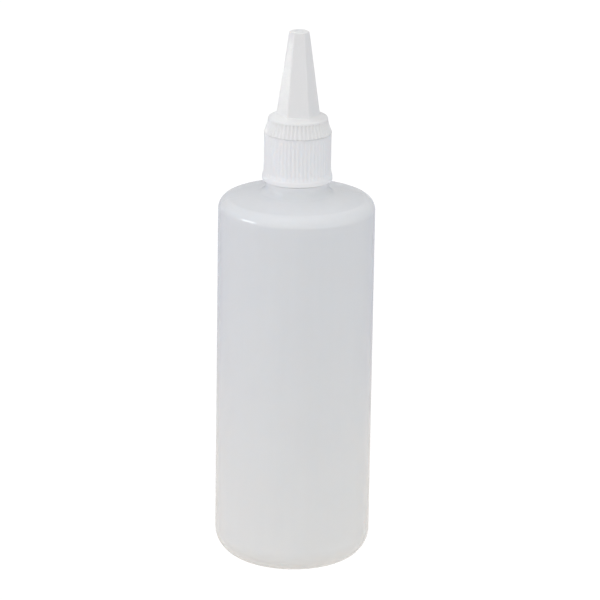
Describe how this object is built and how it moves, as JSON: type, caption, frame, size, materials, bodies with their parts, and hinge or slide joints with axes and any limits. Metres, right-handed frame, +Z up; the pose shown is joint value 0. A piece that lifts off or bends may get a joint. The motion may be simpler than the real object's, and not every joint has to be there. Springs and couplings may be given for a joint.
{
  "type": "glue applicator bottle",
  "caption": "Round translucent squeeze bottle with a ribbed screw cap and a white twist-open spout that tapers as a hexagon to a small round tip.",
  "frame": {"origin": "centre of the base, on the surface that the bottle stands on", "axes": "+Z up along the bottle's axis towards the tip; -Y is the front, square to one flat of the hexagonal nozzle"},
  "size_m": [0.065, 0.065, 0.2261],
  "materials": {
    "natural_bottle": "natural milky polyethylene, satin",
    "natural_cap": "natural polyethylene, satin",
    "white_spout": "white polyethylene, satin",
    "soft_seal": "soft white polyethylene",
    "foam_liner": "foamed polyethylene washer"
  },
  "bodies": {
    "bottle_body": {"bottle": "natural_bottle"},
    "liner_body": {"sealing_liner": "foam_liner"},
    "cap_body": {"screw_cap": "natural_cap"},
    "seal_body": {"spout_seal": "soft_seal"},
    "spout_body": {"twist_spout": "white_spout"}
  },
  "joints": [
    {"name": "cap_lift", "type": "slide", "parent": "bottle_body", "child": "liner_body", "axis": [0, 0, 1], "range_m": [0, 0.0048]},
    {"name": "cap_turn", "type": "hinge", "parent": "liner_body", "child": "cap_body", "pos_m": [0, 0, 0.172], "axis": [0, 0, 1], "range_deg": [0, 540]},
    {"name": "spout_lift", "type": "slide", "parent": "cap_body", "child": "seal_body", "axis": [0, 0, 1], "range_m": [0, 0.00252]},
    {"name": "spout_turn", "type": "hinge", "parent": "seal_body", "child": "spout_body", "pos_m": [0, 0, 0.187], "axis": [0, 0, 1], "range_deg": [0, 90]}
  ],
  "couplings": [
    {"joint": "cap_lift", "follows": "cap_turn", "m_per_rad": 0.00050532},
    {"joint": "spout_lift", "follows": "spout_turn", "m_per_rad": 0.0015915}
  ]
}
